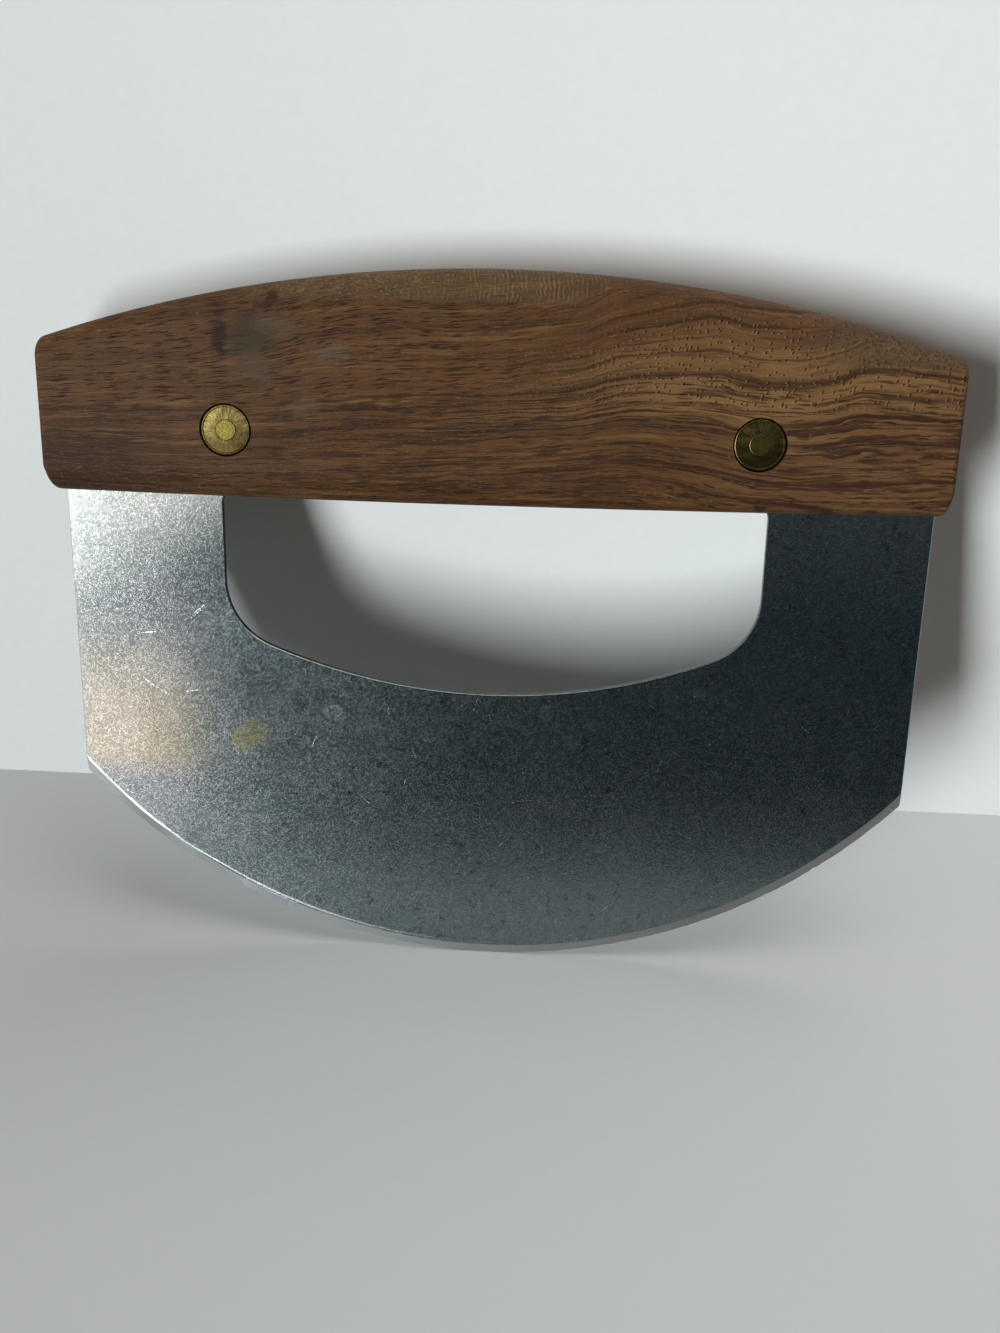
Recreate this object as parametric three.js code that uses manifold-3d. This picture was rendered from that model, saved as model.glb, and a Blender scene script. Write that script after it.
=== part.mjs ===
// Bowl chopper: a rocking steel blade with a finger opening, let into a saw kerf under a crowned walnut grip
// and held there by two brass compression rivets. Millimetres, +Z up. X runs along the grip, the front faces
// -Y, and the origin is the lowest point of the cutting edge.
import * as THREE from "three";
import { mergeVertices } from "three/addons/utils/BufferGeometryUtils.js";
import Module from "manifold-3d";

// Grip
const GRIP_LENGTH = 152.4;
const GRIP_THICKNESS = 19;
const GRIP_END_HEIGHT = 25.6;
const GRIP_MIDDLE_HEIGHT = 38;
const UNDERSIDE_BOW = 0.65; // how far the middle of the underside lies below its ends
const CROWN_ROUND = 6.35;
const LOWER_ROUND = 3.2; // at the ends; it grows towards the middle, as the underside bows away
const END_ARRIS = 1;

// Blade
const BLADE_THICKNESS = 1.2;
const BLADE_REACH = 87.7; // from the lowest point of the edge up to the ends of the grip's underside
const BLADE_SETBACK = 0.4; // how far the blade's sides stay inside the grip's ends
const EDGE_RISE = 34; // how far the tips lie above the lowest point of the edge
const TIP_RADIUS = 1;
const BEVEL_WIDTH = 1.75;
const EDGE_LAND = 0.12; // thickness left at the cutting edge
const ARM_WIDTH = 28;

// Finger opening
const OPENING_FLOOR_HEIGHT = 52.2;
const OPENING_FLOOR_RADIUS = 106.5;
const OPENING_LOWER_CORNER = 12.7;
const OPENING_UPPER_CORNER = 2.5;
const STRAP_RISE = 0.5; // how far the strap's lower edge lies above the ends of the underside

// Kerf that takes the strap of the blade
const KERF_DEPTH = 20.5;
const KERF_SIDE_GAP = 0.2;
const KERF_TOP_GAP = 0.5;

// Compression rivets
const RIVET_SPACING = 88.4;
const RIVET_HEIGHT = 11.4; // above the ends of the underside
const HEAD_DIAMETER = 8.3;
const HEAD_THICKNESS = 1.8;
const HEAD_RECESS = 0.2;
const RIM_WIDTH = 0.4;
const RIM_CHAMFER = 0.15;
const DISH_DEPTH = 0.55;
const TUBE_DIAMETER = 4.9;
const TUBE_END_GAP = 0.3;
const PIN_DIAMETER = 3.5;
const PIN_END_RECESS = 0.3;
const PIN_END_CHAMFER = 0.25;
const PIN_GAP = 0.1;
const RIVET_GAP = 0.25; // round the heads and shanks, and under the heads

// Fineness of the facets
const CROWN_STEPS = 8;
const LOWER_STEPS = 5;
const END_STEPS = 4;
const GRIP_SPANS = 28;
const EDGE_SPANS = 64;
const OUTLINE_STEPS = 20;
const HOLE_STEPS = 36;
const CUT_MARGIN = 2; // how far a cutting solid runs past the faces it opens
const SWEEP_OVERRUN = 1.08; // how far the grinding of the edge runs past its tips, as a share of the sweep
const MERGE_TOLERANCE = 1e-5;

const halfLength = GRIP_LENGTH / 2;
const halfThickness = GRIP_THICKNESS / 2;
const halfBlade = halfLength - BLADE_SETBACK;
const halfOpening = halfBlade - ARM_WIDTH;
const headRadius = HEAD_DIAMETER / 2;
const tubeRadius = TUBE_DIAMETER / 2;
const pinRadius = PIN_DIAMETER / 2;
const rivetLevel = BLADE_REACH + RIVET_HEIGHT;
const strapTop = BLADE_REACH + KERF_DEPTH - KERF_TOP_GAP;
const sideFoot = BLADE_REACH + LOWER_ROUND;

// An arc through two level points and the one midway between them, which lies `rise` off their line.
function arcRadius(halfSpan, rise) {
  return (halfSpan * halfSpan + rise * rise) / (2 * rise);
}
const crownRadius = arcRadius(halfLength, GRIP_MIDDLE_HEIGHT - GRIP_END_HEIGHT);
const edgeRadius = arcRadius(halfBlade, EDGE_RISE);

const wasm = await Module();
wasm.setup();

// The closed solid inside a geometry, ready to be joined or cut.
function toSolid(geometry) {
  const bare = geometry.clone();
  bare.deleteAttribute("normal");
  bare.deleteAttribute("uv");
  const merged = mergeVertices(bare, MERGE_TOLERANCE);
  const vertProperties = new Float32Array(merged.attributes.position.array);
  const triVerts = new Uint32Array(merged.index.array);
  return new wasm.Manifold(new wasm.Mesh({ numProp: 3, vertProperties, triVerts }));
}

// A finished solid turned back into a geometry with flat facets.
function toGeometry(solid) {
  const mesh = solid.getMesh();
  const geometry = new THREE.BufferGeometry();
  geometry.setAttribute("position", new THREE.BufferAttribute(mesh.vertProperties, 3));
  geometry.setIndex(new THREE.BufferAttribute(mesh.triVerts, 1));
  return geometry;
}

// A loft through rings of equally many points, closed by a flat cap at each end. Seen from the first ring
// towards the last, the points run clockwise.
function loft(rings) {
  const count = rings[0].length;
  const positions = rings.flat().flatMap((point) => [point.x, point.y, point.z]);
  const triangles = [];
  for (let ring = 0; ring + 1 < rings.length; ring += 1) {
    for (let step = 0; step < count; step += 1) {
      const a = ring * count + step;
      const b = ring * count + ((step + 1) % count);
      triangles.push(a, a + count, b, b, a + count, b + count);
    }
  }
  const last = (rings.length - 1) * count;
  for (let step = 1; step + 1 < count; step += 1) {
    triangles.push(0, step, step + 1);
    triangles.push(last, last + step + 1, last + step);
  }
  const geometry = new THREE.BufferGeometry();
  geometry.setAttribute("position", new THREE.Float32BufferAttribute(positions, 3));
  geometry.setIndex(triangles);
  return geometry;
}

// How far the eased edge of an end has drawn the section in, at a distance from that end.
function endFall(fromEnd) {
  const intoArris = Math.max(END_ARRIS - fromEnd, 0);
  return END_ARRIS - Math.sqrt(END_ARRIS * END_ARRIS - intoArris * intoArris);
}

function crownLevel(x) {
  const drop = crownRadius - Math.sqrt(crownRadius * crownRadius - x * x);
  return BLADE_REACH + GRIP_MIDDLE_HEIGHT - drop;
}

function undersideLevel(x) {
  return BLADE_REACH - UNDERSIDE_BOW * (1 - (x / halfLength) ** 2);
}

// One upright section across the grip: flat sides, rounded over at the crown and, less, at the underside. The
// sides end on a straight line at the foot, on which the tool lies steady when it is laid down.
function gripSection(x) {
  const fall = endFall(halfLength - Math.abs(x));
  const half = halfThickness - fall;
  const top = crownLevel(x) - fall;
  const bottom = undersideLevel(x) + fall;
  const crown = Math.min(CROWN_ROUND, halfThickness) - fall;
  const lower = Math.min(LOWER_ROUND, halfThickness) - fall;
  const foot = sideFoot - bottom;
  const quarter = Math.PI / 2;
  const arcs = [
    new THREE.EllipseCurve(half - lower, sideFoot, lower, foot, -quarter, 0),
    new THREE.ArcCurve(half - crown, top - crown, crown, 0, quarter),
    new THREE.ArcCurve(crown - half, top - crown, crown, quarter, 2 * quarter),
    new THREE.EllipseCurve(lower - half, sideFoot, lower, foot, 2 * quarter, 3 * quarter),
  ];
  const steps = [LOWER_STEPS, CROWN_STEPS, CROWN_STEPS, LOWER_STEPS];
  const outline = arcs.flatMap((arc, index) => arc.getPoints(steps[index]));
  return outline.reverse().map((point) => new THREE.Vector3(x, point.x, point.y));
}

// Stations along the grip: close together where the ends are eased, evenly spaced between.
function gripStations() {
  const nearEnd = [];
  for (let step = 0; step < END_STEPS; step += 1) {
    nearEnd.push(END_ARRIS * (1 - Math.cos((step / END_STEPS) * (Math.PI / 2))));
  }
  const left = nearEnd.map((distance) => distance - halfLength);
  const right = nearEnd.map((distance) => halfLength - distance).reverse();
  const middle = [];
  for (let span = 0; span <= GRIP_SPANS; span += 1) {
    middle.push((halfLength - END_ARRIS) * ((2 * span) / GRIP_SPANS - 1));
  }
  return [...left, ...middle, ...right];
}

// The stepped hole of one rivet: a seat for each head and a through hole for the tube between them.
function rivetHole(x) {
  const seat = headRadius + RIVET_GAP;
  const through = tubeRadius + RIVET_GAP;
  const seatLevel = halfThickness - HEAD_RECESS - HEAD_THICKNESS - RIVET_GAP;
  const outside = halfThickness + CUT_MARGIN;
  const profile = [
    new THREE.Vector2(0, -outside),
    new THREE.Vector2(seat, -outside),
    new THREE.Vector2(seat, -seatLevel),
    new THREE.Vector2(through, -seatLevel),
    new THREE.Vector2(through, seatLevel),
    new THREE.Vector2(seat, seatLevel),
    new THREE.Vector2(seat, outside),
    new THREE.Vector2(0, outside),
  ];
  const hole = new THREE.LatheGeometry(profile, HOLE_STEPS);
  hole.translate(x, 0, rivetLevel);
  return hole;
}

function gripGeometry() {
  const kerfFloor = BLADE_REACH - UNDERSIDE_BOW - CUT_MARGIN;
  const kerfTop = BLADE_REACH + KERF_DEPTH;
  const kerf = new THREE.BoxGeometry(
    GRIP_LENGTH + 2 * CUT_MARGIN,
    BLADE_THICKNESS + 2 * KERF_SIDE_GAP,
    kerfTop - kerfFloor,
  );
  kerf.translate(0, 0, (kerfTop + kerfFloor) / 2);
  const body = toSolid(loft(gripStations().map(gripSection)));
  const slotted = body.subtract(toSolid(kerf));
  const left = toSolid(rivetHole(-RIVET_SPACING / 2));
  const right = toSolid(rivetHole(RIVET_SPACING / 2));
  return toGeometry(slotted.subtract(left).subtract(right));
}

// Where a corner of radius `radius` touches both an upright side at `side` and an arc of radius `arc` that is
// centred on the middle plane at `level`, inside which it lies.
function cornerInArc(side, radius, arc, level) {
  const x = side - radius;
  const z = level - Math.sqrt((arc - radius) ** 2 - x * x);
  return { x, z, angle: Math.atan2(x, level - z) };
}

// The finger opening, with upright sides and a floor that follows the sweep of the edge.
function openingOutline() {
  const floorCentre = OPENING_FLOOR_HEIGHT + OPENING_FLOOR_RADIUS;
  const lower = cornerInArc(halfOpening, OPENING_LOWER_CORNER, OPENING_FLOOR_RADIUS, floorCentre);
  const upperX = halfOpening - OPENING_UPPER_CORNER;
  const upperZ = BLADE_REACH + STRAP_RISE - OPENING_UPPER_CORNER;
  const down = -Math.PI / 2;
  const path = new THREE.Path();
  path.absarc(0, floorCentre, OPENING_FLOOR_RADIUS, down - lower.angle, down + lower.angle, false);
  path.absarc(lower.x, lower.z, OPENING_LOWER_CORNER, down + lower.angle, 0, false);
  path.absarc(upperX, upperZ, OPENING_UPPER_CORNER, 0, -down, false);
  path.absarc(-upperX, upperZ, OPENING_UPPER_CORNER, -down, Math.PI, false);
  path.absarc(-lower.x, lower.z, OPENING_LOWER_CORNER, Math.PI, 1.5 * Math.PI - lower.angle, false);
  path.closePath();
  return path;
}

// The blade's outline: upright sides, small rounds at the tips and the arc of the edge between them.
function bladeOutline() {
  const tip = cornerInArc(halfBlade, TIP_RADIUS, edgeRadius, edgeRadius);
  const down = -Math.PI / 2;
  const outline = new THREE.Shape();
  outline.moveTo(halfBlade, strapTop);
  outline.lineTo(-halfBlade, strapTop);
  outline.lineTo(-halfBlade, tip.z);
  outline.absarc(-tip.x, tip.z, TIP_RADIUS, Math.PI, 1.5 * Math.PI - tip.angle, false);
  for (let span = 1; span < EDGE_SPANS; span += 1) {
    const angle = tip.angle * ((2 * span) / EDGE_SPANS - 1);
    outline.lineTo(edgeRadius * Math.sin(angle), edgeRadius * (1 - Math.cos(angle)));
  }
  outline.absarc(tip.x, tip.z, TIP_RADIUS, down + tip.angle, 0, false);
  outline.closePath();
  return outline;
}

// The wedge that grinds one side of the edge, swept along the arc. `side` is -1 for the front and 1 for the
// back.
function bevelCutter(side) {
  const sweep = SWEEP_OVERRUN * Math.asin(halfBlade / edgeRadius);
  const slope = (BLADE_THICKNESS - EDGE_LAND) / 2 / BEVEL_WIDTH;
  const face = BLADE_THICKNESS / 2;
  const wedge = [
    [edgeRadius - BEVEL_WIDTH - CUT_MARGIN, face + slope * CUT_MARGIN],
    [edgeRadius + CUT_MARGIN, EDGE_LAND / 2 - slope * CUT_MARGIN],
    [edgeRadius + CUT_MARGIN, face + slope * CUT_MARGIN],
  ];
  if (side > 0) {
    wedge.reverse();
  }
  const rings = [];
  for (let span = 0; span <= EDGE_SPANS; span += 1) {
    const angle = sweep * ((2 * span) / EDGE_SPANS - 1);
    const ring = wedge.map(([radius, depth]) => {
      return new THREE.Vector3(radius * Math.sin(angle), side * depth, edgeRadius - radius * Math.cos(angle));
    });
    rings.push(ring);
  }
  return loft(rings);
}

function bladeGeometry() {
  const outline = bladeOutline();
  outline.holes.push(openingOutline());
  for (const side of [-1, 1]) {
    const hole = new THREE.Path();
    hole.absarc((side * RIVET_SPACING) / 2, rivetLevel, tubeRadius + RIVET_GAP, 0, 2 * Math.PI, false);
    outline.holes.push(hole);
  }
  const plate = new THREE.ExtrudeGeometry(outline, {
    depth: BLADE_THICKNESS,
    bevelEnabled: false,
    curveSegments: OUTLINE_STEPS,
  });
  plate.translate(0, 0, -BLADE_THICKNESS / 2);
  plate.rotateX(Math.PI / 2);
  const front = toSolid(bevelCutter(-1));
  const back = toSolid(bevelCutter(1));
  return toGeometry(toSolid(plate).subtract(front).subtract(back));
}

// The hollow half of a rivet, revolved about its own axis: a dished head at the front and a bored shank.
function rivetTubeGeometry() {
  const front = HEAD_RECESS - halfThickness;
  const seat = front + HEAD_THICKNESS;
  const end = halfThickness - HEAD_RECESS - HEAD_THICKNESS - TUBE_END_GAP;
  const bore = pinRadius + PIN_GAP;
  const profile = [
    new THREE.Vector2(bore, front + DISH_DEPTH),
    new THREE.Vector2(headRadius - RIM_WIDTH, front + RIM_CHAMFER),
    new THREE.Vector2(headRadius - RIM_WIDTH + RIM_CHAMFER, front),
    new THREE.Vector2(headRadius - RIM_CHAMFER, front),
    new THREE.Vector2(headRadius, front + RIM_CHAMFER),
    new THREE.Vector2(headRadius, seat),
    new THREE.Vector2(tubeRadius, seat),
    new THREE.Vector2(tubeRadius, end),
    new THREE.Vector2(bore, end),
    new THREE.Vector2(bore, front + DISH_DEPTH),
  ];
  return new THREE.LatheGeometry(profile, HOLE_STEPS);
}

// The solid half: a flat head at the back and a pin that reaches through the tube to the front.
function rivetPinGeometry() {
  const front = PIN_END_RECESS - halfThickness;
  const back = halfThickness - HEAD_RECESS;
  const seat = back - HEAD_THICKNESS;
  const profile = [
    new THREE.Vector2(0, front),
    new THREE.Vector2(pinRadius - PIN_END_CHAMFER, front),
    new THREE.Vector2(pinRadius, front + PIN_END_CHAMFER),
    new THREE.Vector2(pinRadius, seat),
    new THREE.Vector2(headRadius, seat),
    new THREE.Vector2(headRadius, back - RIM_CHAMFER),
    new THREE.Vector2(headRadius - RIM_CHAMFER, back),
    new THREE.Vector2(0, back),
  ];
  return new THREE.LatheGeometry(profile, HOLE_STEPS);
}

const walnut = new THREE.MeshStandardMaterial({ color: 0x6a4d36, roughness: 0.62, metalness: 0 });
const steel = new THREE.MeshStandardMaterial({ color: 0x8d9296, roughness: 0.38, metalness: 1 });
const brass = new THREE.MeshStandardMaterial({ color: 0xa8903e, roughness: 0.35, metalness: 1 });

function namedMesh(name, geometry, material) {
  const mesh = new THREE.Mesh(geometry, material);
  mesh.name = name;
  return mesh;
}

const bowlChopper = new THREE.Group();
bowlChopper.add(namedMesh("grip", gripGeometry(), walnut));
bowlChopper.add(namedMesh("blade", bladeGeometry(), steel));
for (const [side, sign] of [["left", -1], ["right", 1]]) {
  const tube = namedMesh(`rivet_tube_${side}`, rivetTubeGeometry(), brass);
  const pin = namedMesh(`rivet_pin_${side}`, rivetPinGeometry(), brass);
  for (const piece of [tube, pin]) {
    piece.position.set((sign * RIVET_SPACING) / 2, 0, rivetLevel);
    bowlChopper.add(piece);
  }
}

export default bowlChopper;
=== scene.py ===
# %% [markdown]
# A bowl chopper is a kitchen knife that rocks. A hand closes on the walnut grip, four fingers go through the
# opening in the blade, and the curved edge rolls over whatever lies in a round-bottomed bowl.
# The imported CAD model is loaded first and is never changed. It says where every piece stands, so the finer
# pieces made below can take the place of its solids.

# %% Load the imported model
import functools
import math

import bmesh
import bpy
from mathutils import Matrix, Vector


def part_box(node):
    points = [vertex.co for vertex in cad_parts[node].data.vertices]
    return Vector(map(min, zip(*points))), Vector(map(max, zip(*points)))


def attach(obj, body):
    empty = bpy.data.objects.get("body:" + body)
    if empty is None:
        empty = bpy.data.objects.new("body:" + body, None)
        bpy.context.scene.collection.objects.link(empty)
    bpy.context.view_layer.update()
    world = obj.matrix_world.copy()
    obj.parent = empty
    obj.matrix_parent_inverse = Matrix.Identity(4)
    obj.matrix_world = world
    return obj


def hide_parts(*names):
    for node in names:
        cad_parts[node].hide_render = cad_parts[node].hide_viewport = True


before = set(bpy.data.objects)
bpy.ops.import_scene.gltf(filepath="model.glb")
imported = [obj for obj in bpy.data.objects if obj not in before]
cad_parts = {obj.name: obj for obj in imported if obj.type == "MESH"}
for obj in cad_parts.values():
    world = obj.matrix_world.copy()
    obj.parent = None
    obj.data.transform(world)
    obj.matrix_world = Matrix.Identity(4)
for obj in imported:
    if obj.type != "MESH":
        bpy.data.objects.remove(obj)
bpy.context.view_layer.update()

# %% [markdown]
# Blender works in metres, and a tool like this is measured in millimetres, so MM turns one into the other.
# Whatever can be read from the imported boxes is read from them. The rest are the maker's own measures: radii,
# gaps and depths that a box can't tell, repeated here under the names that a toolmaker would use.

# %% Measures of the chopper
MM = 0.001
grip_low, grip_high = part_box("grip")
blade_low, blade_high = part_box("blade")
tube_low, tube_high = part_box("rivet_tube_left")
pin_low, pin_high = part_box("rivet_pin_left")

half_length = grip_high.x
half_thickness = grip_high.y
half_blade = blade_high.x
half_sheet = blade_high.y
strap_top = blade_high.z
rivet_offset = -(tube_low.x + tube_high.x) / 2
rivet_level = (tube_low.z + tube_high.z) / 2
head_radius = (tube_high.z - tube_low.z) / 2

UNDERSIDE_LEVEL = 87.7 * MM
GRIP_END_HEIGHT = 25.6 * MM
UNDERSIDE_BOW = 0.65 * MM
CROWN_ROUND = 6.35 * MM
LOWER_ROUND = 3.2 * MM
END_ARRIS = 1.0 * MM
middle_height = grip_high.z - UNDERSIDE_LEVEL
print("grip", round(2 * half_length / MM, 1), "mm long, rivets", round(2 * rivet_offset / MM, 1), "mm apart")

# %% [markdown]
# Blender's materials and its Geometry Nodes are both graphs of nodes, and both use the same Math node. Wire
# wraps one socket and gives it Python's operators, so that a rule can be written as it would be on paper:
# each operator adds one Math node. Bench adds every other kind of node through a single method.

# %% A wire to do sums with
def find_socket(sockets, key):
    """A socket by its number, its identifier or the name that it shows."""
    if isinstance(key, int):
        return sockets[key]
    named = [s for s in sockets if s.identifier == key]
    shown = [s for s in sockets if s.name == key and s.enabled]
    return (named + shown)[0]


def adds_math(operation, swapped=False):
    """A method that adds one Math node; swapped is for a wire that stands to the right of a number."""
    def method(self, *others):
        values = (*others, self) if swapped else (self, *others)
        settings = {"operation": operation}
        return self.bench.node("ShaderNodeMath", settings, dict(enumerate(values)))
    return method


class Wire:
    """The value that leaves one socket. An operator on it adds a Math node and gives the new value."""

    def __init__(self, bench, socket):
        self.bench = bench
        self.socket = socket

    def __getitem__(self, name):
        return Wire(self.bench, find_socket(self.socket.node.outputs, name))

    __add__ = adds_math("ADD")
    __radd__ = adds_math("ADD", swapped=True)
    __sub__ = adds_math("SUBTRACT")
    __rsub__ = adds_math("SUBTRACT", swapped=True)
    __mul__ = adds_math("MULTIPLY")
    __rmul__ = adds_math("MULTIPLY", swapped=True)
    __truediv__ = adds_math("DIVIDE")
    __gt__ = adds_math("GREATER_THAN")
    __abs__ = adds_math("ABSOLUTE")
    root = adds_math("SQRT")
    sine = adds_math("SINE")
    at_least = adds_math("MAXIMUM")
    at_most = adds_math("MINIMUM")


def strongest(marks):
    """Where several marks overlap, the strongest one."""
    return functools.reduce(Wire.at_least, marks)


def oval(x, z, middle, level, wide, tall):
    """How far a point lies from the middle of an oval; 1 is on its rim."""
    across = (x - middle) / wide
    up = (z - level) / tall
    return (across * across + up * up).root()


print("wires can be added, multiplied and compared")


# %% A bench to build node trees on
def lay_points(mapping, points):
    """Sets the points of a value curve."""
    curve = mapping.curves[0]
    while len(curve.points) < len(points):
        curve.points.new(0.5, 0.5)
    for point, place in zip(curve.points, points):
        point.location = place
    mapping.update()


class Bench:
    """A node tree, with the one method that adds a node and short names for the nodes used most."""

    def __init__(self, tree):
        self.tree = tree

    def node(self, kind, settings=None, inputs=None):
        made = self.tree.nodes.new(kind)
        for name, value in (settings or {}).items():
            if name == "points":
                lay_points(made.mapping, value)
            else:
                setattr(made, name, value)
        for name, value in (inputs or {}).items():
            socket = find_socket(made.inputs, name)
            for each in value if isinstance(value, list) else [value]:
                if isinstance(each, Wire):
                    self.tree.links.new(each.socket, socket)
                else:
                    socket.default_value = each
        shown = [s for s in made.outputs if s.enabled]
        return Wire(self, shown[0]) if shown else made

    def point(self, x, y, z):
        return self.node("ShaderNodeCombineXYZ", None, {"X": x, "Y": y, "Z": z})

    def vector(self, operation, first, second):
        return self.node("ShaderNodeVectorMath", {"operation": operation}, {0: first, 1: second})

    def scaled(self, vector, factor):
        return self.node("ShaderNodeVectorMath", {"operation": "SCALE"}, {"Vector": vector, "Scale": factor})

    def parts(self, vector):
        split = self.node("ShaderNodeSeparateXYZ", None, {"Vector": vector})
        return split["X"], split["Y"], split["Z"]

    def noise(self, point, detail=2.0, rough=0.5):
        inputs = {"Vector": point, "Scale": 1.0, "Detail": detail, "Roughness": rough}
        return self.node("ShaderNodeTexNoise", {"noise_dimensions": "3D"}, inputs)

    def cells(self, point):
        """Flat cells scattered over the first two numbers of a point."""
        inputs = {"Vector": point, "Scale": 1.0}
        return self.node("ShaderNodeTexVoronoi", {"voronoi_dimensions": "2D"}, inputs)

    def fade(self, value, start, end):
        """0 up to start and 1 from end on, with a soft step between; it falls where end is below start."""
        inputs = {"Value": value, "From Min": start, "From Max": end}
        return self.node("ShaderNodeMapRange", {"interpolation_type": "SMOOTHSTEP"}, inputs)

    def blend(self, share, first, second):
        inputs = {"Factor_Float": share, "A_Color": first, "B_Color": second}
        return self.node("ShaderNodeMix", {"data_type": "RGBA"}, inputs)["Result_Color"]

    def coats(self, colour, layers):
        """Lays coats over a colour, one after another; each is a share and the colour of the coat."""
        for share, coat in layers:
            colour = self.blend(share, colour, coat)
        return colour

    def bump(self, height, strength, depth):
        """The normal of a surface with a fine relief; the depth is in millimetres."""
        inputs = {"Strength": strength, "Distance": depth * MM, "Height": height}
        return self.node("ShaderNodeBump", None, inputs)

    def mixed(self, share, first, second):
        """One shader laid over another by a share."""
        return self.node("ShaderNodeMixShader", None, {0: share, 1: first, 2: second})


print("the bench is ready")

# %% [markdown]
# A geometry tree needs named inputs for its sizes, and a modifier to run it. A modifier's input is set by
# the identifier that Blender gives the socket, since two inputs may share a name. The result is then turned
# into a plain mesh, because an exported model can't carry the modifier.

# %% Helpers that run a geometry tree
SOCKET_KINDS = {float: "NodeSocketFloat", int: "NodeSocketInt"}
WELD_DISTANCE = 0.0005 * MM


def new_tree(name, sizes):
    """A geometry tree with an input for each size, one for the shape worked on and one for the material."""
    tree = bpy.data.node_groups.new(name, "GeometryNodeTree")
    tree.interface.new_socket("Shape", in_out="OUTPUT", socket_type="NodeSocketGeometry")
    tree.interface.new_socket("Blank", in_out="INPUT", socket_type="NodeSocketGeometry")
    for label, value in sizes.items():
        tree.interface.new_socket(label, in_out="INPUT", socket_type=SOCKET_KINDS[type(value)])
    tree.interface.new_socket("Finish", in_out="INPUT", socket_type="NodeSocketMaterial")
    return Bench(tree)


def end_tree(bench, entry, shape):
    """Ends a tree: instances made real, shaded smooth and given the material."""
    real = bench.node("GeometryNodeRealizeInstances", None, {"Geometry": shape})
    smooth = bench.node("GeometryNodeSetShadeSmooth", None, {"Geometry": real, "Shade Smooth": True})
    dressed = bench.node("GeometryNodeSetMaterial", None, {"Geometry": smooth, "Material": entry["Finish"]})
    bench.node("NodeGroupOutput", None, {"Shape": dressed})


def new_object(name, mesh):
    made = bpy.data.objects.new(name, mesh)
    bpy.context.scene.collection.objects.link(made)
    return made


def run_tree(name, blank, bench, sizes, finish):
    """Runs a tree on a blank mesh and gives an object whose plain mesh is the result."""
    piece = new_object(name, blank)
    maker = piece.modifiers.new("maker", "NODES")
    maker.node_group = bench.tree
    values = {**sizes, "Finish": finish}
    for item in bench.tree.interface.items_tree:
        if item.in_out == "INPUT" and item.name in values:
            maker[item.identifier] = values[item.name]
    depsgraph = bpy.context.evaluated_depsgraph_get()
    mesh = bpy.data.meshes.new_from_object(piece.evaluated_get(depsgraph), depsgraph=depsgraph)
    piece.modifiers.remove(maker)
    piece.data = mesh
    mesh.name = name
    return piece


def finish_mesh(piece, crease):
    """Turns every face outwards, keeps edges sharper than the crease angle crisp, and reports the mesh."""
    shape = bmesh.new()
    shape.from_mesh(piece.data)
    bmesh.ops.remove_doubles(shape, verts=shape.verts, dist=WELD_DISTANCE)
    bmesh.ops.recalc_face_normals(shape, faces=shape.faces)
    open_edges = sum(not edge.is_manifold for edge in shape.edges)
    shape.to_mesh(piece.data)
    shape.free()
    piece.data.shade_smooth()
    piece.data.set_sharp_from_angle(angle=math.radians(crease))
    piece.data.calc_loop_triangles()
    print(piece.name, len(piece.data.loop_triangles), "triangles,", open_edges, "open edges")


print("a tree takes sizes of", len(SOCKET_KINDS), "kinds")

# %% [markdown]
# Colours are written as a painter reads them off a swatch, in the 0 to 255 of a screen. Blender's shaders
# work in linear light, so each one is converted once, here.

# %% Paint and finishes
def paint(red, green, blue):
    """A screen colour turned into linear light."""
    def linear(level):
        share = level / 255
        return share / 12.92 if share <= 0.04045 else ((share + 0.055) / 1.055) ** 2.4
    return linear(red), linear(green), linear(blue), 1.0


def new_finish(name):
    """An empty material and its bench."""
    material = bpy.data.materials.new(name)
    material.use_nodes = True
    material.node_tree.nodes.clear()
    return material, Bench(material.node_tree)


def surface_place(bench):
    """Where a point of the surface lies, in the chopper's own millimetres."""
    place = bench.node("ShaderNodeTexCoord")["Object"]
    return bench.parts(bench.scaled(place, 1 / MM))


def end_finish(bench, shader):
    bench.node("ShaderNodeOutputMaterial", None, {"Surface": shader})


def end_painted(bench, inputs):
    end_finish(bench, bench.node("ShaderNodeBsdfPrincipled", None, inputs))


print("a middle grey of 128 is", round(paint(128, 128, 128)[0], 3), "in linear light")


# %% [markdown]
# The grip is a walnut board. Its growth lines run nearly level along the lower half, swing upwards to the
# right above it and dip under the right rivet. Two of them are traced along the board. The height of a point
# is then measured between those two, so a streak drawn at one height follows their sweep. Streaks, thin dark
# lines and open pores are stacked on that height, each at its own true size in millimetres. Fade turns a
# noise into a mark: it is 0 below one value and 1 above another, so two numbers set how crisp a mark is.

# %% The sweep of the grain
GRAIN_SPAN = 80.0
LINE_FLOOR = 90.0
LINE_RANGE = 24.0
LOWER_LEVEL = 94.0
UPPER_LEVEL = 105.0
SLANT = 0.35
FRONT_SHIFT = SLANT * half_thickness / MM
LOWER_LINE = [
    (-80, 92.4), (-20, 92.9), (10, 94.9), (24, 96.0), (31, 95.4), (40, 94.0), (46, 93.2), (58, 93.1),
    (80, 94.0),
]
UPPER_LINE = [
    (-80, 101.8), (-60, 102.4), (-44, 103.0), (-25, 104.8), (0, 105.9), (14, 107.3), (21, 109.0), (31, 109.9),
    (36, 110.0), (41, 109.1), (49, 108.7), (56, 109.8), (61, 111.4), (66, 111.2), (80, 109.8),
]


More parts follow.
